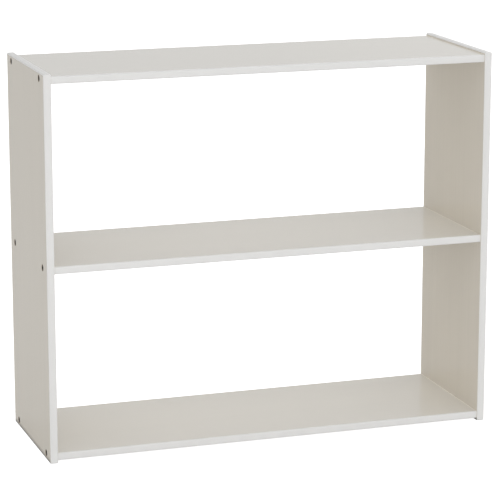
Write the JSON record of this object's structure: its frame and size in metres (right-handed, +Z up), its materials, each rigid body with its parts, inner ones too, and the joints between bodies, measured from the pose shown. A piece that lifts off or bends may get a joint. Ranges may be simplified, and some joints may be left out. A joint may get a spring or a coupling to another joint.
{
  "type": "double-sided classroom shelf",
  "caption": "Low open shelf unit for a classroom: laminate side panels with rounded white edge bands, joined by fixed shelves, with no back so that it is used from both sides.",
  "frame": {"origin": "on the floor, under the middle of the unit", "axes": "+X along the shelves to the right, +Y from front to rear, +Z up"},
  "size_m": [0.9144, 0.3048, 0.762],
  "materials": {
    "board_laminate": "satin",
    "edge_band": "satin",
    "screw_steel": "satin"
  },
  "bodies": {
    "root": {"left_side_board": "board_laminate", "right_side_board": "board_laminate", "top_shelf_board": "board_laminate", "middle_shelf_board": "board_laminate", "bottom_shelf_board": "board_laminate", "left_front_band": "edge_band", "left_rear_band": "edge_band", "left_top_band": "edge_band", "left_bottom_band": "edge_band", "right_front_band": "edge_band", "right_rear_band": "edge_band", "right_top_band": "edge_band", "right_bottom_band": "edge_band", "top_shelf_front_band": "edge_band", "top_shelf_rear_band": "edge_band", "middle_shelf_front_band": "edge_band", "middle_shelf_rear_band": "edge_band", "bottom_shelf_front_band": "edge_band", "bottom_shelf_rear_band": "edge_band", "left_screws": "screw_steel", "right_screws": "screw_steel"}
  },
  "joints": []
}
